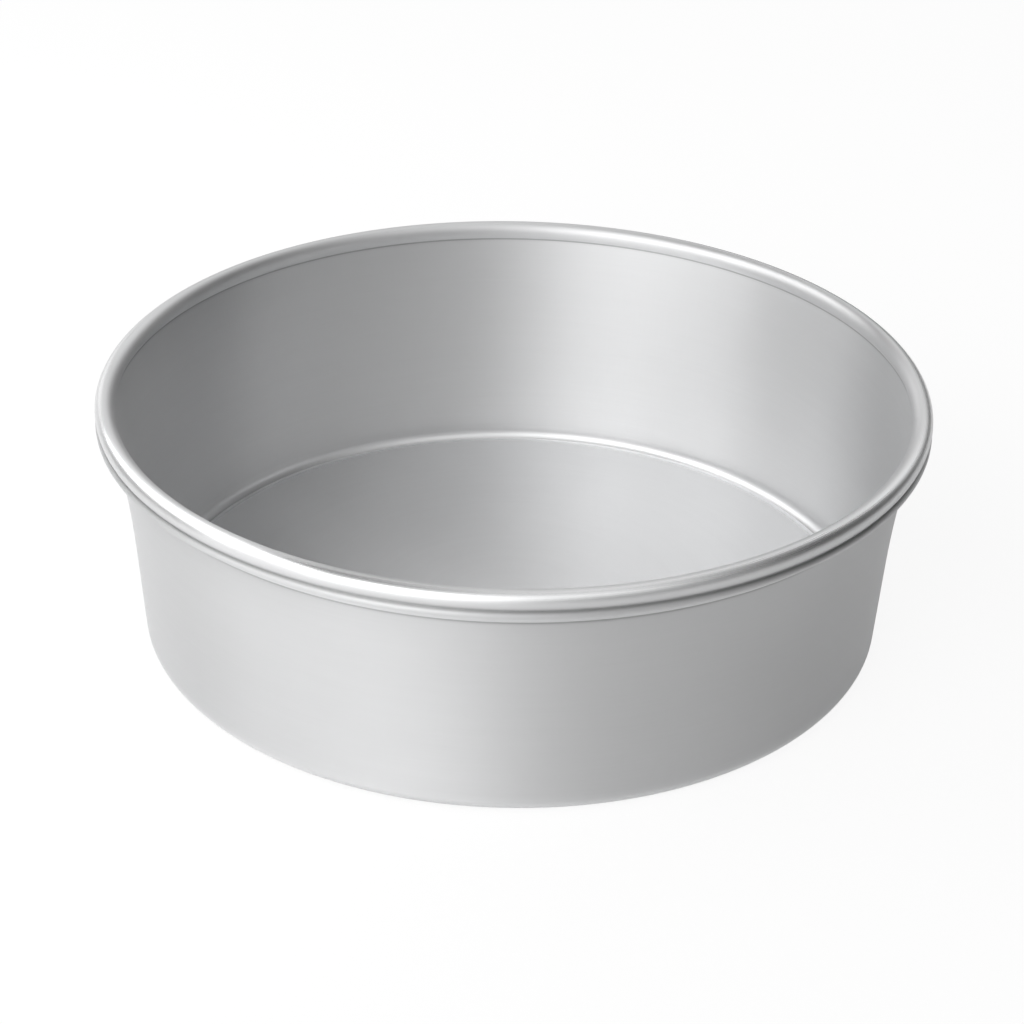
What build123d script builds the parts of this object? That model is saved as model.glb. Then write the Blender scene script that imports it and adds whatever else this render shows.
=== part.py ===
"""Round loose-bottomed cake tin, spun from one aluminium sheet, with a wired rim and a push-up base.

The frame is +Z up, in millimetres. The origin is the centre of the foot, on the surface the tin stands on.
"""
import os
from math import cos, degrees, radians, sin, tan

from build123d import *

# Overall size
mouth_diameter = 230.0      # clear width inside the rim bead
tin_height = 75.0           # foot to the top of the bead

# Sheet and wall
sheet = 1.0                 # gauge of the spun shell
upper_lean = 11.2           # lean of the wall under the rim, in degrees from upright
lower_lean = 4.3            # lean of the wall above the foot
waist_height_share = 0.64   # of tin_height, where the two straights would meet
waist_reach_share = 0.8     # of the upper straight, taken by the long bend that blends the two
foot_radius = 3.0           # inside bend between the ledge and the wall
ledge_flat = 7.0            # flat of the ledge that the base rests on

# Rolled rim
wire_diameter = 3.05        # wire ring inside the bead
wire_clearance = 0.35       # between the wire and the sheet rolled round it
wire_butt_gap = 0.5         # between the two cut ends of the wire
neck_angle = 30.0           # how far below its own centre the bead starts, inside the tin
neck_lead = 0.9             # from the corner of the neck up to the bead
neck_radius = 0.9           # bend at that corner
tuck_angle = 45.0           # how far below its own centre the bead ends, outside the tin
tuck_radius = 0.25          # bend at the bottom of the groove under the bead
tuck_turn = 115.0           # how far the sheet turns back out in that bend
tail_bend = 0.15            # inside bend where the sheet turns down again
tail_angle = 40.0           # slope of the tail below level
tail_seat_gap = 0.2         # between the tail's cut edge and the wall

# Loose base
base_thickness = 1.5
base_clearance = 0.3        # between the edge of the base and the start of the foot bend
base_top_round = 0.5
base_bottom_round = 0.25


def polar(distance, angle):
    """A step in the section, in degrees above the outward direction."""
    return Vector(distance * cos(radians(angle)), distance * sin(radians(angle)))


def leaning_rise(height, lean):
    """A step in the section that climbs that height, leaning out by that many degrees."""
    return Vector(height * tan(radians(lean)), height)


def tangent_share(turn):
    """How far a bend reaches along each of its two straights, as a share of its radius."""
    return tan(radians(abs(turn)) / 2)


# The wall, from the neck down to the ledge: X is the distance from the axis and Y is the height
wire_radius = wire_diameter / 2
bead_radius = wire_radius + wire_clearance + sheet
bead_centre = Vector(mouth_diameter / 2 + bead_radius, tin_height - bead_radius)
neck_heading = 90 + neck_angle
neck_corner = bead_centre + polar(bead_radius, 180 + neck_angle) - polar(neck_lead, neck_heading)
waist_height = waist_height_share * tin_height
upper_wall = leaning_rise(neck_corner.Y - waist_height, upper_lean)
lower_wall = leaning_rise(waist_height - sheet, lower_lean)
waist_corner = neck_corner - upper_wall
foot_corner = waist_corner - lower_wall

# The bends of the wall, and how far each one reaches along its straights
foot_turn = 90 - lower_lean
waist_turn = lower_lean - upper_lean
neck_turn = neck_heading - 90 + upper_lean
foot_reach = foot_radius * tangent_share(foot_turn)
waist_reach = waist_reach_share * upper_wall.length
waist_radius = waist_reach / tangent_share(waist_turn)
neck_reach = neck_radius * tangent_share(neck_turn)
ledge_outer_radius = foot_corner.X - foot_reach
ledge_edge = Vector(ledge_outer_radius - ledge_flat, sheet)

# The tuck and the roll under the bead, and where the straight tail starts
roll_radius = tail_bend + sheet
roll_turn = 90 - tuck_angle + tuck_turn - tail_angle
tuck_centre = bead_centre + polar(bead_radius + tuck_radius, -tuck_angle)
roll_centre = tuck_centre + polar(tuck_radius + roll_radius, 180 - tuck_angle + tuck_turn)
tail_start = roll_centre + polar(roll_radius, 270 + tail_angle)

# The tail runs down until its underside is one seat gap away from the outside of the wall
wall_normal = -upper_lean
under_tail = tail_start + polar(sheet, 90 + tail_angle)
gap_there = (under_tail - waist_corner).dot(polar(1, wall_normal)) - sheet
tail_length = (gap_there - tail_seat_gap) / cos(radians(tail_angle - wall_normal))

# The run of the sheet, from the ledge to the tail's cut edge: a straight is (length, 0), and a bend is
# (radius on the side that the cake touches, turn in degrees, left when positive)
sheet_run = [
    (ledge_flat, 0),
    (foot_radius, foot_turn),
    (lower_wall.length - foot_reach - waist_reach, 0),
    (waist_radius, waist_turn),
    (upper_wall.length - waist_reach - neck_reach, 0),
    (neck_radius, neck_turn),
    (neck_lead - neck_reach, 0),
    (bead_radius, -180 - neck_angle - tuck_angle),
    (tuck_radius, tuck_turn),
    (roll_radius, -roll_turn),
    (tail_length, 0),
]


def draw_side(depth):
    """Draw one side of the sheet, at that depth below the side the cake touches, and return its ends."""
    start = ledge_edge - Vector(0, depth)
    place = start
    direction = Vector(1, 0)
    for size, turn in sheet_run:
        if turn == 0:
            edge = PolarLine(place, size, direction=direction)
        elif turn > 0:
            edge = JernArc(place, direction, size + depth, turn)
        else:
            edge = JernArc(place, direction, size - depth, turn)
        place = edge @ 1
        direction = edge % 1
    return start, place


with BuildPart() as tin_body:
    with BuildSketch(Plane.XZ) as shell_section:
        with BuildLine() as sheet_outline:
            cake_ends = draw_side(0)
            outer_ends = draw_side(sheet)
            Line(cake_ends[0], outer_ends[0])
            Line(cake_ends[1], outer_ends[1])
        make_face()
    revolve(axis=Axis.Z)
tin_body.part.label = "tin_body"

with BuildPart() as rim_wire:
    with BuildSketch(Plane.XZ) as wire_section:
        with Locations(bead_centre):
            Circle(wire_radius)
    revolve(axis=Axis.Z, revolution_arc=360 - degrees(wire_butt_gap / bead_centre.X))
rim_wire.part.label = "rim_wire"

with BuildPart() as loose_base:
    with BuildSketch(Plane.XY.offset(sheet)) as base_outline:
        Circle(ledge_outer_radius - base_clearance)
    extrude(amount=base_thickness)
    rims = loose_base.edges().filter_by(GeomType.CIRCLE).sort_by(Axis.Z)
    fillet(rims[-1], radius=base_top_round)
    fillet(rims[0], radius=base_bottom_round)
loose_base.part.label = "loose_base"

os.makedirs("parts", exist_ok=True)
export_step(tin_body.part, "parts/tin_body.step")
export_step(rim_wire.part, "parts/rim_wire.step")
export_step(loose_base.part, "parts/loose_base.step")
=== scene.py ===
"""The looks of a round loose-bottomed cake tin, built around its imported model.

Lengths are in metres, in the tin's own frame: +Z up, and the origin is the centre of the foot.
"""
import logging
import math
from dataclasses import dataclass, field
from enum import Enum
from typing import Any

import bmesh
import bpy
from mathutils import Matrix, Vector


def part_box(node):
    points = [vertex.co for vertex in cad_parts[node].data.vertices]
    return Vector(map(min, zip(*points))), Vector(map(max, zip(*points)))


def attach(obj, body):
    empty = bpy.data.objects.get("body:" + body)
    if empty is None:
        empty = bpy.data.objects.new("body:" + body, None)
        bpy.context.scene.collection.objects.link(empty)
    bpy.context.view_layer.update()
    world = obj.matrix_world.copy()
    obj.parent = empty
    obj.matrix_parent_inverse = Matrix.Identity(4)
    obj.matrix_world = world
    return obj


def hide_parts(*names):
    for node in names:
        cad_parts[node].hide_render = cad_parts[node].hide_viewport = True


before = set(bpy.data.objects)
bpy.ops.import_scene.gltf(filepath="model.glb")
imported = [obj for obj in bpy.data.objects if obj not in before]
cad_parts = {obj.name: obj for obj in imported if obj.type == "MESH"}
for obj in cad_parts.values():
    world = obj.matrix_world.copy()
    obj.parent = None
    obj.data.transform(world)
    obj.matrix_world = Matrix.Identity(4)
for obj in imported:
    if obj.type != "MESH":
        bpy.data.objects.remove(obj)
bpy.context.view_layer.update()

MM = 0.001
MICRON = 0.000001
SEGMENTS = 360                  # faces round the axis
CREASE = math.radians(40)       # a sharper edge than this stays sharp
WHITE = (1.0, 1.0, 1.0, 1.0)
Socket = bpy.types.NodeSocket
Inputs = dict[str | int, Any]   # a value, or a socket to join, for each input's name or number
log = logging.getLogger("cake_tin")

# A Mix node's sockets for colours, whose names are also those of its sockets for numbers
COLOUR_A, COLOUR_B, COLOUR_RESULT = 6, 7, 2


class Body(Enum):
    """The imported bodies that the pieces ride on."""

    TIN = "tin"
    BASE = "base"


class Slot(Enum):
    """The record's material slots."""

    SHELL = "tin_shell"
    BASE = "tin_base"
    WIRE = "rim_wire"


class Layer(Enum):
    """The attributes that an outline, and the skin turned from it, carry for the finish."""

    ALONG = "along"         # metres from the outline's start, on the outline only
    TURNING = "turning"     # UV map of the skin: metres along the outline, then round the axis
    POLISH_AND_SHEEN = "polish_and_sheen"             # 0 on untouched metal, up to 1 where hands and shelves polish it and a painted highlight lightens it
    SHADE_AND_DULL = "shade_and_dull"           # 0 on open metal, up to 1 in the creases, where the metal stays dull and painted shade darkens it


class NodeBench:
    """Adds nodes to one tree and joins them."""

    def __init__(self, tree: bpy.types.NodeTree) -> None:
        """Works on that tree, which it empties first."""
        self.tree = tree
        tree.nodes.clear()

    def add(self, kind: str, inputs: Inputs | None = None, **settings: Any) -> bpy.types.Node:
        """Adds a node.

        Args:
            kind: The node's type name.
            inputs: What goes into its inputs.
            settings: The node's own properties.

        Returns:
            The new node.
        """
        node = self.tree.nodes.new(kind)
        for name, value in settings.items():
            setattr(node, name, value)
        for name, value in (inputs or {}).items():
            self.feed(node.inputs[name], value)
        return node

    def feed(self, socket: Socket, value: Any) -> None:
        """Joins the socket to another one, or sets its value."""
        if isinstance(value, Socket):
            self.tree.links.new(value, socket)
        else:
            socket.default_value = value

    def sum(self, operation: str, *values: Any) -> Socket:
        """Does one sum.

        Args:
            operation: The Math node's operation.
            values: Numbers or sockets, in the node's order.

        Returns:
            The socket with the result.
        """
        node = self.tree.nodes.new("ShaderNodeMath")
        node.operation = operation
        for socket, value in zip(node.inputs, values):
            self.feed(socket, value)
        return node.outputs[0]

    def blend(self, first: Any, second: Any, share: float) -> Socket:
        """Adds up two values.

        Args:
            first: The socket or number that makes up that share.
            second: The one that makes up the rest.
            share: From 0 to 1.

        Returns:
            The socket with the result.
        """
        return self.sum("MULTIPLY_ADD", first, share, self.sum("MULTIPLY", second, 1 - share))

    def noise(self, where: Socket, scale: float, **inputs: float) -> Socket:
        """Makes a noise.

        Args:
            where: The place to read it at.
            scale: How many specks lie along one unit of length.
            inputs: Values for its other inputs.

        Returns:
            A value from 0 to 1.
        """
        values = {"Vector": where, "Scale": scale} | inputs
        return self.add("ShaderNodeTexNoise", values).outputs["Fac"]

    def stretch(self, value: Any, low: float, high: float, to_low: float,
                to_high: float) -> Socket:
        """Maps one range of a value onto another, smoothly and with no overshoot.

        Args:
            value: The socket to map.
            low: Where the range starts.
            high: Where the range ends.
            to_low: What its start becomes.
            to_high: What its end becomes.

        Returns:
            The socket with the mapped value.
        """
        return self.add("ShaderNodeMapRange", {
            "Value": value, "From Min": low, "From Max": high, "To Min": to_low,
            "To Max": to_high}, interpolation_type="SMOOTHSTEP").outputs["Result"]


def new_material(name: str) -> tuple[bpy.types.Material, NodeBench]:
    """Makes an empty material, and the bench for its nodes."""
    material = bpy.data.materials.new(name)
    material.use_nodes = True
    return material, NodeBench(material.node_tree)


@dataclass(frozen=True)
class SatinAluminium:
    """Spun or turned aluminium with a satin, clear anodised face.

    Fine grooves run round the axis, so a highlight spreads across them. The tint and the gloss
    drift a little over the sheet; touched edges are smoother and lighter by a painted highlight,
    and creases are rougher and darker by painted shade.
    """

    name: str
    tint: tuple[float, float, float] = (0.782, 0.785, 0.79)
    tint_drift: float = 0.05        # darkest tint, as a share below the full one
    roughness: float = 0.50
    roughness_drift: float = 0.03
    rub_gloss: float = 0.24         # how much smoother a rubbed place is
    painted_sheen: float = 0.20        # how much lighter the painted highlight makes a rubbed place, as a share
    painted_shade_depth: float = 0.40         # how much darker the painted shade makes a crease, as a share
    crease_dull: float = 0.12         # how much rougher a crease is
    spread: float = 0.88            # how much a highlight spreads across the grooves
    groove_pitch: float = 0.35 * MM
    groove_arc: float = 45 * MM     # how far round one groove keeps its depth
    groove_detail: float = 3.0      # how many times finer grooves lie in it
    groove_hold: float = 0.65       # how much of the depth the finer ones keep
    band_pitch: float = 3.15 * MM   # of the broad bands among the grooves
    band_share: float = 0.4         # of the grain, made by the bands
    satin_size: float = 0.5 * MM    # of the etched dimples
    satin_detail: float = 2.0       # how many times finer dimples lie in them
    satin_depth: float = 0.5        # of the dimples, as a share of the grooves' depth
    cloud_size: float = 60 * MM     # of the slow drift in tint and gloss
    cloud_detail: float = 3.0
    cloud_share: float = 0.6        # of the whole drift; the grain makes the rest
    drift_start: float = 0.3        # the drift's value where tint and gloss begin to change
    drift_end: float = 0.7          # its value where they stop
    relief: float = 30 * MICRON     # the height that the grooves' full range stands for
    relief_strength: float = 0.12   # how much of it tilts the light

    def grooves(self, bench: NodeBench, pitch: float, along: Any, place: Any) -> Socket:
        """Makes fine lines round the axis.

        Args:
            bench: The material's nodes.
            pitch: From one line to the next.
            along: The distance along the outline.
            place: The separated place on the piece.

        Returns:
            A value from 0 to 1.
        """
        across = bench.sum("DIVIDE", along, pitch)
        side = bench.sum("DIVIDE", place.outputs["X"], self.groove_arc)
        back = bench.sum("DIVIDE", place.outputs["Y"], self.groove_arc)
        point = bench.add("ShaderNodeCombineXYZ", {"X": across, "Y": side, "Z": back})
        return bench.noise(point.outputs["Vector"], 1.0, Detail=self.groove_detail,
                           Roughness=self.groove_hold)

    def make(self) -> bpy.types.Material:
        """Builds the material."""
        material, bench = new_material(self.name)
        turning = bench.add("ShaderNodeUVMap", uv_map=Layer.TURNING.value).outputs["UV"]
        along = bench.add("ShaderNodeSeparateXYZ", {"Vector": turning}).outputs["X"]
        where = bench.add("ShaderNodeTexCoord").outputs["Object"]
        place = bench.add("ShaderNodeSeparateXYZ", {"Vector": where})
        fine = self.grooves(bench, self.groove_pitch, along, place)
        broad = self.grooves(bench, self.band_pitch, along, place)
        satin = bench.noise(where, 1 / self.satin_size, Detail=self.satin_detail)
        cloud = bench.noise(where, 1 / self.cloud_size, Detail=self.cloud_detail)
        grain = bench.blend(broad, fine, self.band_share)
        drift = bench.blend(cloud, grain, self.cloud_share)
        polish_and_sheen = bench.add("ShaderNodeAttribute", attribute_name=Layer.POLISH_AND_SHEEN.value).outputs["Fac"]
        shade_and_dull = bench.add("ShaderNodeAttribute", attribute_name=Layer.SHADE_AND_DULL.value).outputs["Fac"]
        # a painted highlight lightens the tint where the metal is rubbed
        sheen_lift = bench.sum("MULTIPLY_ADD", polish_and_sheen, self.painted_sheen, 1.0)
        # painted shade darkens the tint in the creases
        painted_light_scale = bench.sum("MULTIPLY_ADD", shade_and_dull, -self.painted_shade_depth, sheen_lift)
        fresh = bench.stretch(drift, self.drift_start, self.drift_end, 1 - self.tint_drift, 1.0)
        tint = bench.add("ShaderNodeVectorMath", {
            0: self.tint, "Scale": bench.sum("MULTIPLY", painted_light_scale, fresh)}, operation="SCALE")
        uneven = bench.stretch(drift, self.drift_start, self.drift_end,
                               self.roughness - self.roughness_drift,
                               self.roughness + self.roughness_drift)
        worn = bench.sum("MULTIPLY_ADD", polish_and_sheen, -self.rub_gloss, uneven)
        rough = bench.sum("MULTIPLY_ADD", shade_and_dull, self.crease_dull, worn)
        bump = bench.add("ShaderNodeBump", {
            "Height": bench.sum("MULTIPLY_ADD", satin, self.satin_depth, grain),
            "Strength": self.relief_strength, "Distance": self.relief})
        across = bench.add("ShaderNodeTangent", direction_type="UV_MAP",
                           uv_map=Layer.TURNING.value)
        shader = bench.add("ShaderNodeBsdfPrincipled", {
            "Base Color": tint.outputs["Vector"], "Metallic": 1.0, "Roughness": rough,
            "Anisotropic": self.spread, "Normal": bump.outputs["Normal"],
            "Tangent": across.outputs["Tangent"]})
        bench.add("ShaderNodeOutputMaterial", {"Surface": shader.outputs["BSDF"]})
        return material


@dataclass(frozen=True)
class GalvanisedWire:
    """Drawn steel wire with a dull, spangled zinc face."""

    name: str
    light: tuple[float, float, float, float] = (0.60, 0.61, 0.62, 1.0)
    dark: tuple[float, float, float, float] = (0.44, 0.45, 0.47, 1.0)
    spangle_size: float = 1.6 * MM
    spangle_edge: float = 0.7       # how far from its centre a spangle is roughest, in sizes
    bloom_scale: float = 0.3        # how fine the light and dark patches are, against spangles
    roughness: float = 0.45
    roughness_drift: float = 0.08

    def make(self) -> bpy.types.Material:
        """Builds the material."""
        material, bench = new_material(self.name)
        place = bench.add("ShaderNodeTexCoord").outputs["Object"]
        spangle = bench.add("ShaderNodeTexVoronoi", {"Vector": place,
                                                     "Scale": 1 / self.spangle_size})
        bloom = bench.noise(place, self.bloom_scale / self.spangle_size)
        tint = bench.add("ShaderNodeMix", {
            "Factor": bloom, COLOUR_A: self.dark, COLOUR_B: self.light}, data_type="RGBA")
        rough = bench.stretch(spangle.outputs["Distance"], 0.0, self.spangle_edge,
                              self.roughness - self.roughness_drift,
                              self.roughness + self.roughness_drift)
        shader = bench.add("ShaderNodeBsdfPrincipled", {
            "Base Color": tint.outputs[COLOUR_RESULT], "Metallic": 1.0, "Roughness": rough})
        bench.add("ShaderNodeOutputMaterial", {"Surface": shader.outputs["BSDF"]})
        return material


@dataclass(frozen=True)
class Stretch:
    """One stretch of a sheet's run: a straight, or a bend where turn isn't zero."""

    size: float         # length of a straight, or radius of a bend on the sheet's first face
    turn: float = 0.0   # degrees, to the left when positive


def polar(distance: float, angle: float) -> Vector:
    """A step in the section, in degrees above the outward direction."""
    turn = math.radians(angle)
    return Vector((distance * math.cos(turn), distance * math.sin(turn)))


def tangent_share(turn: float) -> float:
    """How far a bend reaches along its two straights, as a share of its radius."""
    return math.tan(math.radians(abs(turn)) / 2)


def round_corner(before: Vector, corner: Vector, after: Vector, radius: float,
                 steps: int) -> list[Vector]:
    """Rounds one square corner of an outline.

    Args:
        before: A place further back on the outline.
        corner: The corner itself.
        after: A place further on.
        radius: Of the round.
        steps: How many short lines make it.

    Returns:
        The points that take the corner's place.
    """
    back = (before - corner).normalized() * radius
    on = (after - corner).normalized() * radius
    centre = corner + back + on
    quarter = math.pi / 2
    return [centre - on * math.cos(quarter * i / steps) - back * math.sin(quarter * i / steps)
            for i in range(steps + 1)]


class PieceTree:
    """A node tree that makes the mesh of a piece and dresses it."""

    def __init__(self, name: str, inputs: dict[str, str]) -> None:
        """Starts the tree.

        Args:
            name: The tree's name.
            inputs: The kind of each named input, apart from the crease angle and the finish.
        """
        self.tree = bpy.data.node_groups.new(name, "GeometryNodeTree")
        self.bench = NodeBench(self.tree)
        self.sockets: dict[str, str] = {}
        for title, kind in (inputs | {"Crease": "Float", "Finish": "Material"}).items():
            socket = self.tree.interface.new_socket(name=title, in_out="INPUT",
                                                    socket_type=f"NodeSocket{kind}")
            self.sockets[title] = socket.identifier
        self.tree.interface.new_socket(name="Piece", in_out="OUTPUT",
                                       socket_type="NodeSocketGeometry")
        self.given = self.bench.add("NodeGroupInput").outputs

    def dress(self, piece: Socket) -> None:
        """Smooths the faces up to the crease angle, gives them the finish and ends the tree."""
        bend = self.bench.add("GeometryNodeInputMeshEdgeAngle").outputs["Unsigned Angle"]
        smooth = self.bench.add("GeometryNodeSetShadeSmooth", {
            "Geometry": piece,
            "Shade Smooth": self.bench.sum("LESS_THAN", bend, self.given["Crease"])},
            domain="EDGE")
        real = self.bench.add("GeometryNodeRealizeInstances", {
            "Geometry": smooth.outputs["Geometry"]})
        dressed = self.bench.add("GeometryNodeSetMaterial", {
            "Geometry": real.outputs["Geometry"], "Material": self.given["Finish"]})
        self.bench.add("NodeGroupOutput", {"Piece": dressed.outputs["Geometry"]})


class TurningTree(PieceTree):
    """A node tree that turns an outline about the Z axis into one closed skin."""

    def __init__(self) -> None:
        """Builds the tree."""
        super().__init__("turn_outline", {"Outline": "Geometry", "Points": "Int",
                                          "Segments": "Int", "Weld": "Float", "Girth": "Float"})
        bench, given = self.bench, self.given
        grid = bench.add("GeometryNodeMeshGrid", {
            "Size X": 1.0, "Size Y": 1.0, "Vertices X": bench.sum("ADD", given["Segments"], 1.0),
            "Vertices Y": given["Points"]})
        flat = bench.add("ShaderNodeSeparateXYZ", {
            "Vector": bench.add("GeometryNodeInputPosition").outputs["Position"]})
        share = bench.sum("ADD", flat.outputs["X"], 0.5)
        row = bench.sum("MULTIPLY", bench.sum("ADD", flat.outputs["Y"], 0.5),
                        bench.sum("SUBTRACT", given["Points"], 1.0))
        index = bench.add("FunctionNodeFloatToInt", {"Float": row},
                          rounding_mode="ROUND").outputs["Integer"]
        mapped = bench.add("ShaderNodeCombineXYZ", {
            "X": self.read(index, Layer.ALONG),
            "Y": bench.sum("MULTIPLY", share, given["Girth"])})
        skin = self.store(grid.outputs["Mesh"], Layer.TURNING, mapped.outputs["Vector"],
                          "FLOAT2", "CORNER")
        for layer in (Layer.POLISH_AND_SHEEN, Layer.SHADE_AND_DULL):
            skin = self.store(skin, layer, self.read(index, layer), "FLOAT", "POINT")
        point = bench.add("ShaderNodeSeparateXYZ", {"Vector": self.read(index)})
        angle = bench.sum("MULTIPLY", share, 2 * math.pi)
        placed = bench.add("ShaderNodeCombineXYZ", {
            "X": bench.sum("MULTIPLY", point.outputs["X"], bench.sum("COSINE", angle)),
            "Y": bench.sum("MULTIPLY", point.outputs["X"], bench.sum("SINE", angle)),
            "Z": point.outputs["Z"]})
        turned = bench.add("GeometryNodeSetPosition", {
            "Geometry": skin, "Position": placed.outputs["Vector"]})
        welded = bench.add("GeometryNodeMergeByDistance", {
            "Geometry": turned.outputs["Geometry"], "Distance": given["Weld"]})
        outward = bench.add("GeometryNodeFlipFaces", {"Mesh": welded.outputs["Geometry"]})
        self.dress(outward.outputs["Mesh"])

    def read(self, index: Socket, layer: Layer | None = None) -> Socket:
        """Reads a value of the outline's points.

        Args:
            index: The socket with the point's number.
            layer: The attribute to read, or None for the point's place.

        Returns:
            The socket with the value.
        """
        if layer is None:
            kind = "FLOAT_VECTOR"
            value = self.bench.add("GeometryNodeInputPosition").outputs["Position"]
        else:
            kind = "FLOAT"
            value = self.bench.add("GeometryNodeInputNamedAttribute", {"Name": layer.value},
                                   data_type=kind).outputs["Attribute"]
        return self.bench.add("GeometryNodeSampleIndex", {
            "Geometry": self.given["Outline"], "Value": value, "Index": index},
            data_type=kind, domain="POINT").outputs["Value"]

    def store(self, skin: Socket, layer: Layer, value: Socket, kind: str, domain: str) -> Socket:
        """Keeps a value on the skin.

        Args:
            skin: The socket with the skin so far.
            layer: The attribute to keep it in.
            value: The socket with the value.
            kind: The value's data type.
            domain: What the value is kept on.

        Returns:
            The socket with the skin that holds it.
        """
        return self.bench.add("GeometryNodeStoreNamedAttribute", {
            "Geometry": skin, "Name": layer.value, "Value": value},
            data_type=kind, domain=domain).outputs["Geometry"]


class WireTree(PieceTree):
    """A node tree that bends a round wire into an open ring about the Z axis."""

    def __init__(self) -> None:
        """Builds the tree."""
        super().__init__("bend_wire", {
            "Blank": "Geometry", "Ring Radius": "Float", "Ring Height": "Float",
            "Wire Radius": "Float", "Sweep": "Float", "Segments": "Int", "Sides": "Int"})
        bench, given = self.bench, self.given
        ring = bench.add("GeometryNodeCurveArc", {
            "Resolution": given["Segments"], "Radius": given["Ring Radius"], "Start Angle": 0.0,
            "Sweep Angle": given["Sweep"]}, mode="RADIUS")
        circle = bench.add("GeometryNodeCurvePrimitiveCircle", {
            "Resolution": given["Sides"], "Radius": given["Wire Radius"]}, mode="RADIUS")
        tube = bench.add("GeometryNodeCurveToMesh", {
            "Curve": ring.outputs["Curve"], "Profile Curve": circle.outputs["Curve"],
            "Fill Caps": True})
        lift = bench.add("ShaderNodeCombineXYZ", {"Z": given["Ring Height"]})
        wire = bench.add("GeometryNodeTransform", {
            "Geometry": tube.outputs["Mesh"], "Translation": lift.outputs["Vector"]})
        self.dress(wire.outputs["Geometry"])


def settle(blank: bpy.types.Object, tree: PieceTree, values: dict[str, Any]) -> bpy.types.Object:
    """Runs a node tree on an object once and keeps the result as its plain mesh.

    Args:
        blank: The object that the tree starts from.
        tree: The tree to run.
        values: A value for each of its named inputs.

    Returns:
        The same object, with a closed mesh whose faces point outwards.
    """
    modifier = blank.modifiers.new("make", "NODES")
    modifier.node_group = tree.tree
    for name, value in values.items():
        modifier[tree.sockets[name]] = value
    depsgraph = bpy.context.evaluated_depsgraph_get()
    mesh = bpy.data.meshes.new_from_object(blank.evaluated_get(depsgraph),
                                           preserve_all_data_layers=True, depsgraph=depsgraph)
    blank.modifiers.remove(modifier)
    work = bmesh.new()
    work.from_mesh(mesh)
    bmesh.ops.recalc_face_normals(work, faces=work.faces)
    work.to_mesh(mesh)
    open_edges = sum(1 for edge in work.edges if len(edge.link_faces) != 2)
    work.free()
    old = blank.data
    blank.data = mesh
    mesh.name = blank.name
    bpy.data.meshes.remove(old)
    log.info("%s: %d faces, %d open edges", blank.name, len(mesh.polygons), open_edges)
    return blank


def new_object(name: str, data: bpy.types.ID) -> bpy.types.Object:
    """Adds a mesh, a lamp or a camera to the scene as an object at the origin."""
    thing = bpy.data.objects.new(name, data)
    bpy.context.scene.collection.objects.link(thing)
    return thing


@dataclass
class TurnedPiece:
    """What every piece turned about the tin's axis shares."""

    weld: float = 0.5 * MICRON      # points nearer than this are joined
    bend_step: float = 8.0          # degrees from one point of a bend to the next
    longest_step: float = 4 * MM    # from one point of the outline to the next
    marks_step: float = 0.05         # how far the wear and the painted light and shade may stray from a straight line
    marks_checks: int = 8            # how many times it is looked at between two points

    def polish_and_sheen(self, point: Vector) -> float:
        """How polished the metal is at a place of the outline, and how much a painted highlight
        lightens it.
        """
        return 0.0

    def shade_and_dull(self, point: Vector) -> float:
        """How much painted shade darkens the metal at a place of the outline, and how dull it is.
        """
        return 0.0

    @staticmethod
    def near(point: Vector, places: list[tuple[Vector, float]]) -> float:
        """How near a point is to the nearest of some places.

        Args:
            point: The point.
            places: Each place with its reach.

        Returns:
            1 at a place, fading to 0 past its reach.
        """
        return max(math.exp(-((point - place).length / reach) ** 2) for place, reach in places)

    def refine(self, outline: list[Vector]) -> list[Vector]:
        """Adds points where the wear and the painted light and shade change faster than the
        outline's own points can show.

        Args:
            outline: The section's points.

        Returns:
            The same outline with more points.
        """
        finer = outline[:1]
        shares = [i / self.marks_checks for i in range(self.marks_checks + 1)]
        for start, end in zip(outline, outline[1:]):
            places = [start.lerp(end, share) for share in shares]
            marks = [self.polish_and_sheen(place) + self.shade_and_dull(place) for place in places]
            straight = [marks[0] + (marks[-1] - marks[0]) * share for share in shares]
            miss = max(abs(a - b) for a, b in zip(marks, straight))
            pieces = 1 + min(self.marks_checks - 1, int(miss / self.marks_step))
            finer += [start.lerp(end, i / pieces) for i in range(1, pieces + 1)]
        return finer

    def turn(self, name: str, outline: list[Vector], tree: TurningTree,
             finish: bpy.types.Material) -> bpy.types.Object:
        """Turns an outline about the axis.

        Args:
            name: The piece's name.
            outline: The section's points, in order, each a radius and a height.
            tree: The tree that turns it.
            finish: The piece's material.

        Returns:
            The finished object.
        """
        outline = self.refine(outline)
        mesh = bpy.data.meshes.new(name)
        mesh.from_pydata([(point.x, 0.0, point.y) for point in outline],
                         [(i, i + 1) for i in range(len(outline) - 1)], [])
        travel = [0.0]
        for start, end in zip(outline, outline[1:]):
            travel.append(travel[-1] + (end - start).length)
        layers = {Layer.ALONG: travel, Layer.POLISH_AND_SHEEN: [self.polish_and_sheen(point) for point in outline],
                  Layer.SHADE_AND_DULL: [self.shade_and_dull(point) for point in outline]}
        for layer, values in layers.items():
            attribute = mesh.attributes.new(layer.value, "FLOAT", "POINT")
            attribute.data.foreach_set("value", values)
        girth = 2 * math.pi * max(point.x for point in outline)
        return settle(new_object(name, mesh), tree, {
            "Points": len(outline), "Segments": SEGMENTS, "Weld": self.weld, "Crease": CREASE,
            "Girth": girth, "Finish": finish})


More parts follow.
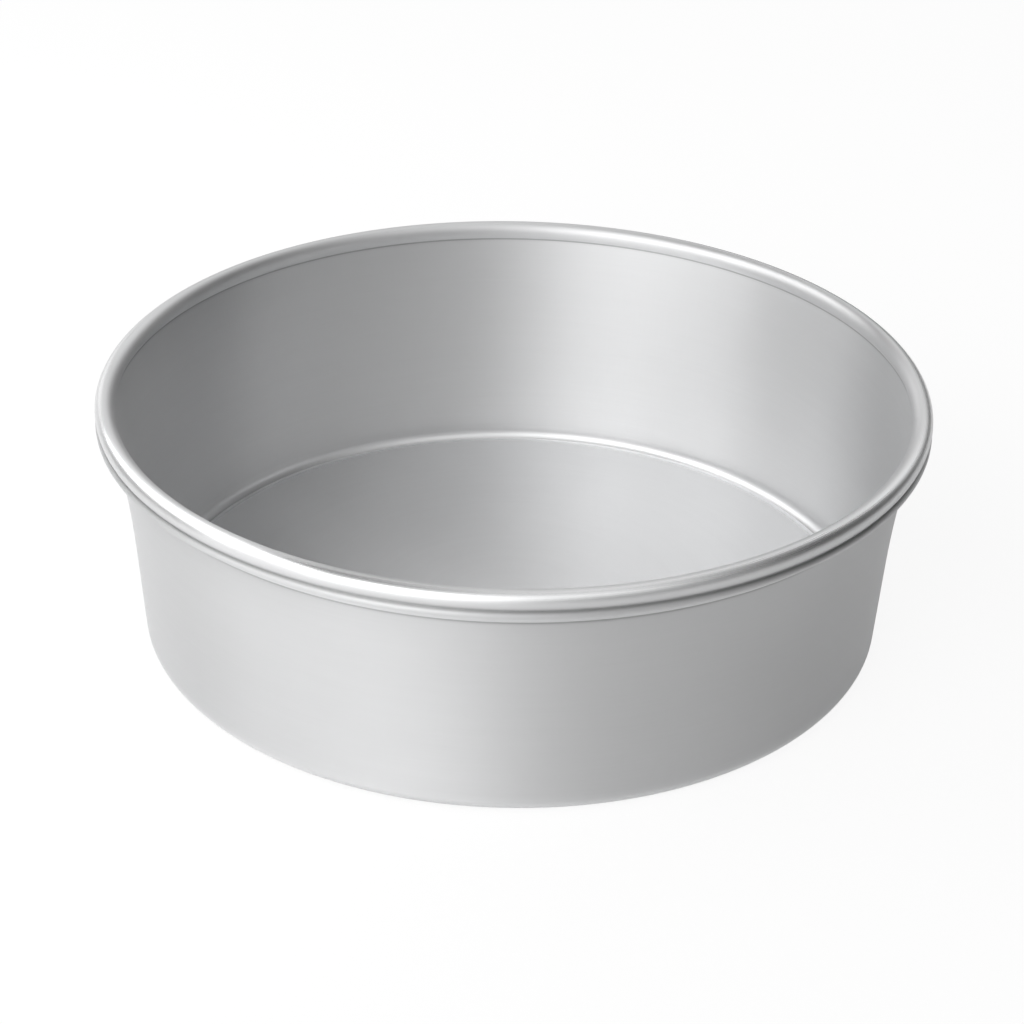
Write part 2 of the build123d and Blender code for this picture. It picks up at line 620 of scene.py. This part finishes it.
@dataclass
class SpunShell(TurnedPiece):
    """The one aluminium sheet of the tin: ledge, foot, wall, wired bead and the roll under it."""

    mouth_radius: float = 115.0 * MM
    sheet: float = 1.0 * MM
    upper_lean: float = 11.2            # lean of the wall under the rim, in degrees from upright
    lower_lean: float = 4.3             # lean of the wall above the foot
    waist_height_share: float = 0.64    # of the tin's height, where the two straights would meet
    waist_reach_share: float = 0.8      # of the upper straight, taken by the bend between the two
    foot_radius: float = 3.0 * MM
    ledge_flat: float = 7.0 * MM
    wire_radius: float = 1.525 * MM
    wire_clearance: float = 0.35 * MM
    wire_butt_gap: float = 0.5 * MM
    neck_angle: float = 30.0            # how far below its own centre the bead starts, inside
    neck_lead: float = 0.9 * MM         # from the neck's corner up to the bead
    neck_radius: float = 0.9 * MM
    tuck_angle: float = 45.0            # how far below its own centre the bead ends, outside
    tuck_radius: float = 0.25 * MM
    tuck_turn: float = 115.0            # how far the sheet turns back out under the bead
    tail_bend: float = 0.15 * MM
    tail_angle: float = 40.0            # slope of the tail below level
    tail_seat_gap: float = 0.2 * MM
    edge_round: float = 0.12 * MM       # where the sheared edges are dressed
    edge_steps: int = 3
    crown_angle: float = 60.0           # of the bead's most polished line, lit by a painted highlight, above level
    crown_sheen_reach: float = 1.2              # how far its polish and painted highlight reach, in radii of the bead
    foot_sheen_reach: float = 0.7               # how far the foot's polish and painted highlight reach, in its bend's radii
    groove_shade_reach: float = 0.9            # how far the painted shade and dullness of the groove reach, in sheets
    neck_shade_reach: float = 0.25             # the same for the neck
    seam_shade_reach: float = 0.6              # the same for the seam under the tail
    seam_lead: float = 1.1              # from the tail's cut edge on to that seam, in sheets
    ledge_shade_reach: float = 0.5             # how far the painted shade and dullness by the base reach, in radii of the foot's bend
    height: float = field(default_factory=lambda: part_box("tin_body")[1].z)

    def __post_init__(self) -> None:
        """Works out the bead and the wall from the sizes."""
        self.bead_radius = self.wire_radius + self.wire_clearance + self.sheet
        self.bead_centre = Vector((self.mouth_radius + self.bead_radius,
                                   self.height - self.bead_radius))
        self.neck_corner = (self.bead_centre + polar(self.bead_radius, 180 + self.neck_angle)
                            - polar(self.neck_lead, 90 + self.neck_angle))
        waist_height = self.waist_height_share * self.height
        self.upper_wall = self.leaning_rise(self.neck_corner.y - waist_height, self.upper_lean)
        self.lower_wall = self.leaning_rise(waist_height - self.sheet, self.lower_lean)
        self.waist_corner = self.neck_corner - self.upper_wall
        self.foot_turn = 90 - self.lower_lean
        self.foot_reach = self.foot_radius * tangent_share(self.foot_turn)
        self.ledge_outer_radius = (self.waist_corner - self.lower_wall).x - self.foot_reach

    @staticmethod
    def leaning_rise(height: float, lean: float) -> Vector:
        """A step in the section that climbs that height, leaning out by that many degrees."""
        return Vector((height * math.tan(math.radians(lean)), height))

    def tail_start(self) -> Vector:
        """Where the roll under the bead ends and the straight tail begins, on its outer face."""
        roll_radius = self.tail_bend + self.sheet
        tuck_centre = self.bead_centre + polar(self.bead_radius + self.tuck_radius,
                                               -self.tuck_angle)
        roll_centre = tuck_centre + polar(self.tuck_radius + roll_radius,
                                          180 - self.tuck_angle + self.tuck_turn)
        return roll_centre + polar(roll_radius, 270 + self.tail_angle)

    def tail_length(self) -> float:
        """How long the tail is when its cut edge rests on the wall."""
        under = self.tail_start() + polar(self.sheet, 90 + self.tail_angle)
        gap = (under - self.waist_corner).dot(polar(1.0, -self.upper_lean)) - self.sheet
        approach = math.cos(math.radians(self.tail_angle + self.upper_lean))
        return (gap - self.tail_seat_gap) / approach

    def tail_edge(self) -> Vector:
        """The tail's cut edge, on its outer face."""
        return self.tail_start() + polar(self.tail_length(), 180 + self.tail_angle)

    def run(self) -> list[Stretch]:
        """The sheet's run, from the ledge's cut edge to the tail's cut edge."""
        waist_turn = self.lower_lean - self.upper_lean
        neck_turn = self.neck_angle + self.upper_lean
        waist_reach = self.waist_reach_share * self.upper_wall.length
        neck_reach = self.neck_radius * tangent_share(neck_turn)
        roll_turn = 90 - self.tuck_angle + self.tuck_turn - self.tail_angle
        return [
            Stretch(self.ledge_flat),
            Stretch(self.foot_radius, self.foot_turn),
            Stretch(self.lower_wall.length - self.foot_reach - waist_reach),
            Stretch(waist_reach / tangent_share(waist_turn), waist_turn),
            Stretch(self.upper_wall.length - waist_reach - neck_reach),
            Stretch(self.neck_radius, neck_turn),
            Stretch(self.neck_lead - neck_reach),
            Stretch(self.bead_radius, -180 - self.neck_angle - self.tuck_angle),
            Stretch(self.tuck_radius, self.tuck_turn),
            Stretch(self.tail_bend + self.sheet, -roll_turn),
            Stretch(self.tail_length()),
        ]

    def face(self, depth: float) -> list[Vector]:
        """Walks the run at one depth of the sheet.

        Args:
            depth: Below the face that the cake touches.

        Returns:
            The points of that face, from the ledge to the tail.
        """
        place = Vector((self.ledge_outer_radius - self.ledge_flat, self.sheet - depth))
        heading = 0.0
        points = [place]
        for stretch in self.run():
            if stretch.turn == 0:
                steps = max(1, math.ceil(stretch.size / self.longest_step))
                points += [place + polar(stretch.size * i / steps, heading)
                           for i in range(1, steps + 1)]
            else:
                side = math.copysign(1.0, stretch.turn)
                radius = stretch.size + side * depth
                centre = place + polar(radius, heading + side * 90)
                steps = math.ceil(max(
                    abs(stretch.turn) / self.bend_step,
                    math.radians(abs(stretch.turn)) * radius / self.longest_step))
                points += [centre - polar(radius, heading + side * 90 + stretch.turn * i / steps)
                           for i in range(1, steps + 1)]
                heading += stretch.turn
            place = points[-1]
        return points

    def dressed_corner(self, before: Vector, corner: Vector, after: Vector) -> list[Vector]:
        """The points that round one corner of a cut edge."""
        return round_corner(before, corner, after, self.edge_round, self.edge_steps)

    def outline(self) -> list[Vector]:
        """The whole closed section, with the metal on the right."""
        cake, outer = self.face(0.0), self.face(self.sheet)
        tail = (self.dressed_corner(cake[-2], cake[-1], outer[-1])
                + self.dressed_corner(cake[-1], outer[-1], outer[-2]))
        ledge = (self.dressed_corner(outer[1], outer[0], cake[0])
                 + self.dressed_corner(outer[0], cake[0], cake[1]))
        closed = cake[1:-1] + tail + outer[-2:0:-1] + ledge
        return closed + closed[:1]

    def polish_and_sheen(self, point: Vector) -> float:
        """Polish and painted highlight on the sheet: most on the bead's crown and on the foot's
        bend.
        """
        crown = self.bead_centre + polar(self.bead_radius, self.crown_angle)
        foot = Vector((self.ledge_outer_radius + self.foot_radius, self.sheet))
        return self.near(point, [(crown, self.crown_sheen_reach * self.bead_radius),
                                 (foot, self.foot_sheen_reach * self.foot_radius)])

    def shade_and_dull(self, point: Vector) -> float:
        """Painted shade and dullness on the sheet: most in its creases and in the groove and seam
        under the bead.
        """
        groove = self.bead_centre + polar(self.bead_radius, -self.tuck_angle)
        seam = self.tail_edge() + polar(self.seam_lead * self.sheet, 180 + self.tail_angle)
        ledge = Vector((self.ledge_outer_radius, self.sheet))
        return self.near(point, [(groove, self.groove_shade_reach * self.sheet),
                                 (seam, self.seam_shade_reach * self.sheet),
                                 (ledge, self.ledge_shade_reach * self.foot_radius),
                                 (self.neck_corner, self.neck_shade_reach * self.sheet)])

    def build(self, tree: TurningTree, finish: bpy.types.Material) -> bpy.types.Object:
        """Builds and dresses the shell."""
        shell = self.turn("spun_shell", self.outline(), tree, finish)
        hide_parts("tin_body")
        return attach(shell, Body.TIN.value)


@dataclass
class LooseBase(TurnedPiece):
    """The flat disc that rests on the ledge."""

    top_round: float = 0.5 * MM
    top_steps: int = 8
    bottom_round: float = 0.25 * MM
    bottom_steps: int = 5
    rim_sheen_reach: float = 2.0        # how far the polish and painted highlight of the top rim reach, in its round's radii
    edge_shade_reach: float = 1.6      # how far the painted shade and dullness of the bottom edge reach, in those radii
    radius: float = field(default_factory=lambda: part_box("loose_base")[1].x)
    bottom: float = field(default_factory=lambda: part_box("loose_base")[0].z)
    top: float = field(default_factory=lambda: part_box("loose_base")[1].z)

    def outline(self) -> list[Vector]:
        """The section, from the axis along the top and back along the bottom."""
        steps = math.ceil(self.radius / self.longest_step)
        spokes = [self.radius * i / steps for i in range(steps)]
        upper, lower = Vector((self.radius, self.top)), Vector((self.radius, self.bottom))
        top_centre, bottom_centre = Vector((0.0, self.top)), Vector((0.0, self.bottom))
        return ([Vector((spoke, self.top)) for spoke in spokes]
                + round_corner(top_centre, upper, lower, self.top_round, self.top_steps)
                + round_corner(upper, lower, bottom_centre, self.bottom_round, self.bottom_steps)
                + [Vector((spoke, self.bottom)) for spoke in reversed(spokes)])

    def polish_and_sheen(self, point: Vector) -> float:
        """Polish and painted highlight on the disc: most at the round of its top rim."""
        rim = Vector((self.radius - self.top_round, self.top))
        return self.near(point, [(rim, self.rim_sheen_reach * self.top_round)])

    def shade_and_dull(self, point: Vector) -> float:
        """Painted shade and dullness on the disc: most on its bottom edge, by the foot's bend."""
        edge = Vector((self.radius, self.bottom))
        return self.near(point, [(edge, self.edge_shade_reach * self.top_round)])

    def build(self, tree: TurningTree, finish: bpy.types.Material) -> bpy.types.Object:
        """Builds and dresses the base."""
        disc = self.turn("base_disc", self.outline(), tree, finish)
        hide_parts("loose_base")
        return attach(disc, Body.BASE.value)


@dataclass
class RimWire:
    """The wire ring inside the bead, cut to length and butted."""

    shell: SpunShell
    sides: int = 24

    def build(self, tree: WireTree, finish: bpy.types.Material) -> bpy.types.Object:
        """Builds and dresses the wire."""
        blank = new_object("wire_ring", bpy.data.meshes.new("wire_ring"))
        centre = self.shell.bead_centre
        wire = settle(blank, tree, {
            "Ring Radius": centre.x, "Ring Height": centre.y,
            "Wire Radius": self.shell.wire_radius,
            "Sweep": 2 * math.pi - self.shell.wire_butt_gap / centre.x,
            "Segments": SEGMENTS, "Sides": self.sides, "Crease": CREASE, "Finish": finish})
        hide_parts("rim_wire")
        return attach(wire, Body.TIN.value)


def toward(azimuth: float, elevation: float) -> Vector:
    """The way out from the tin, in degrees to the right of the camera and above level."""
    turn, rise = math.radians(azimuth), math.radians(elevation)
    return Vector((math.sin(turn) * math.cos(rise), -math.cos(turn) * math.cos(rise),
                   math.sin(rise)))


@dataclass(frozen=True)
class Softbox:
    """One rectangular lamp behind cloth, aimed at the tin."""

    name: str
    azimuth: float
    elevation: float
    distance: float
    width: float
    height: float
    radiance: float
    target_height: float = 40 * MM

    def build(self) -> None:
        """Puts the lamp in the scene."""
        way = toward(self.azimuth, self.elevation)
        lamp = bpy.data.lights.new(self.name, "AREA")
        lamp.shape = "RECTANGLE"
        lamp.size, lamp.size_y = self.width, self.height
        lamp.energy = self.radiance * math.pi * self.width * self.height
        stand = new_object(self.name, lamp)
        stand.location = Vector((0.0, 0.0, self.target_height)) + way * self.distance
        stand.rotation_euler = way.to_track_quat("Z", "Y").to_euler()
        stand.visible_camera = False


def shown(bench: NodeBench, mirrored_share: float) -> Socket:
    """Tells where the plain white background shows.

    Args:
        bench: The nodes of the floor or the world.
        mirrored_share: How much of it shows in metal and glass.

    Returns:
        1 for what the camera sees, the share for what is mirrored or seen through, and 0 for
        what lights the tin.
    """
    path = bench.add("ShaderNodeLightPath").outputs
    mirrored = bench.sum("MAXIMUM", path["Is Glossy Ray"], path["Is Transmission Ray"])
    return bench.sum("MULTIPLY_ADD", mirrored, mirrored_share, path["Is Camera Ray"])


@dataclass(frozen=True)
class ClothGlow:
    """One place where a lamp stands behind the tent's cloth."""

    azimuth: float
    elevation: float
    radiance: float
    tightness: float = 9.0      # how fast it fades with the cosine of the angle from it


@dataclass(frozen=True)
class LightTent:
    """White cloth all round, lit from behind in places, which the camera sees as plain white."""

    glows: tuple[ClothGlow, ...]
    white: float = 1.0              # the strength that shows as plain white
    mirrored_share: float = 0.03    # of that white, in what metal and glass mirror

    def build(self) -> None:
        """Makes the world."""
        world = bpy.data.worlds.new("light_tent")
        bpy.context.scene.world = world
        world.use_nodes = True
        bench = NodeBench(world.node_tree)
        look = bench.add("ShaderNodeTexCoord").outputs["Generated"]
        light: Any = 0.0
        for glow in self.glows:
            facing = bench.add("ShaderNodeVectorMath", {
                0: look, 1: toward(glow.azimuth, glow.elevation)}, operation="DOT_PRODUCT")
            fade = bench.sum("MULTIPLY_ADD", facing.outputs["Value"], glow.tightness,
                             -glow.tightness)
            light = bench.sum("MULTIPLY_ADD", bench.sum("EXPONENT", fade), glow.radiance, light)
        seen = bench.add("ShaderNodeMix", {
            "Factor": shown(bench, self.mirrored_share), "A": light, "B": self.white},
            data_type="FLOAT")
        shine = bench.add("ShaderNodeBackground", {"Color": WHITE,
                                                   "Strength": seen.outputs["Result"]})
        bench.add("ShaderNodeOutputWorld", {"Surface": shine.outputs["Background"]})


@dataclass(frozen=True)
class WhiteFloor:
    """A wide white table that keeps a faint shadow of the tin."""

    reach: float = 8.0
    drop: float = 0.05 * MM         # below the foot, so that the two faces don't meet
    paint: float = 0.9
    shadow_share: float = 0.16      # of what the camera sees that the lamps and shadows make
    mirrored_share: float = 0.08    # of the white, in what metal and glass mirror
    white: float = 1.04             # its strength, a little over 1 to make up for the paint's share

    def build(self) -> None:
        """Puts the floor in the scene."""
        material, bench = new_material("white_floor")
        paint = bench.add("ShaderNodeBsdfDiffuse", {
            "Color": (self.paint, self.paint, self.paint, 1.0)})
        glow = bench.add("ShaderNodeEmission", {"Strength": self.white})
        share = bench.sum("MULTIPLY", shown(bench, self.mirrored_share), 1 - self.shadow_share)
        both = bench.add("ShaderNodeMixShader", {0: share, 1: paint.outputs["BSDF"],
                                                 2: glow.outputs["Emission"]})
        bench.add("ShaderNodeOutputMaterial", {"Surface": both.outputs["Shader"]})
        mesh = bpy.data.meshes.new("floor")
        corners = [(-1, -1), (1, -1), (1, 1), (-1, 1)]
        mesh.from_pydata([(x * self.reach, y * self.reach, -self.drop) for x, y in corners], [],
                         [(0, 1, 2, 3)])
        mesh.materials.append(material)
        new_object("floor", mesh)


@dataclass(frozen=True)
class PhotoCamera:
    """The camera at the photograph's viewing angle, as the tin's outlines give it."""

    lens: float = 98.98             # millimetres
    sensor: float = 36.0            # millimetres across
    distance: float = 731.4 * MM    # in front of the axis
    height: float = 438.6 * MM
    pitch: float = 29.06            # degrees below level
    roll: float = 1.12              # degrees that the camera leans to its left
    nearest: float = 10 * MM        # what lies nearer isn't shown

    def build(self) -> None:
        """Puts the camera in the scene."""
        data = bpy.data.cameras.new("photo_camera")
        data.lens = self.lens
        data.sensor_width = self.sensor
        data.clip_start = self.nearest
        camera = new_object("photo_camera", data)
        pitch, roll = math.radians(self.pitch), math.radians(self.roll)
        camera.matrix_world = (Matrix.Translation((0.0, -self.distance, self.height))
                               @ Matrix.Rotation(math.pi / 2 - pitch, 4, "X")
                               @ Matrix.Rotation(roll, 4, "Z"))
        bpy.context.scene.camera = camera


def main() -> None:
    """Builds the tin, the studio and the camera, and reports each piece."""
    logging.basicConfig(level=logging.INFO, format="%(name)s: %(message)s")
    bpy.context.scene.view_settings.view_transform = "Standard"
    turning, wiring = TurningTree(), WireTree()
    spun = SatinAluminium("spun_aluminium").make()
    turned = SatinAluminium("turned_aluminium", tint=(0.862, 0.865, 0.87), roughness=0.32,
                            spread=0.4).make()
    galvanised = GalvanisedWire("galvanised_wire").make()
    shell = SpunShell()
    pieces = [
        shell.build(turning, spun),
        LooseBase().build(turning, turned),
        RimWire(shell).build(wiring, galvanised),
    ]
    LightTent(glows=(
        ClothGlow(azimuth=30, elevation=60, radiance=1.0),
        ClothGlow(azimuth=-30, elevation=28, radiance=2.9),
        ClothGlow(azimuth=55, elevation=12, radiance=0.15),
        ClothGlow(azimuth=-152, elevation=10, radiance=1.1, tightness=18.0),
        ClothGlow(azimuth=150, elevation=32, radiance=0.9, tightness=25.0),
        ClothGlow(azimuth=180, elevation=30, radiance=0.6, tightness=25.0),
        ClothGlow(azimuth=165, elevation=64, radiance=0.8, tightness=18.0),
    )).build()
    Softbox("side_softbox", azimuth=-102, elevation=40, distance=0.62, width=0.7, height=0.42,
            radiance=1.9).build()
    Softbox("key_softbox", azimuth=-58, elevation=30, distance=0.62, width=0.45, height=0.6,
            radiance=0.55).build()
    WhiteFloor().build()
    PhotoCamera().build()


if __name__ == "__main__":
    main()
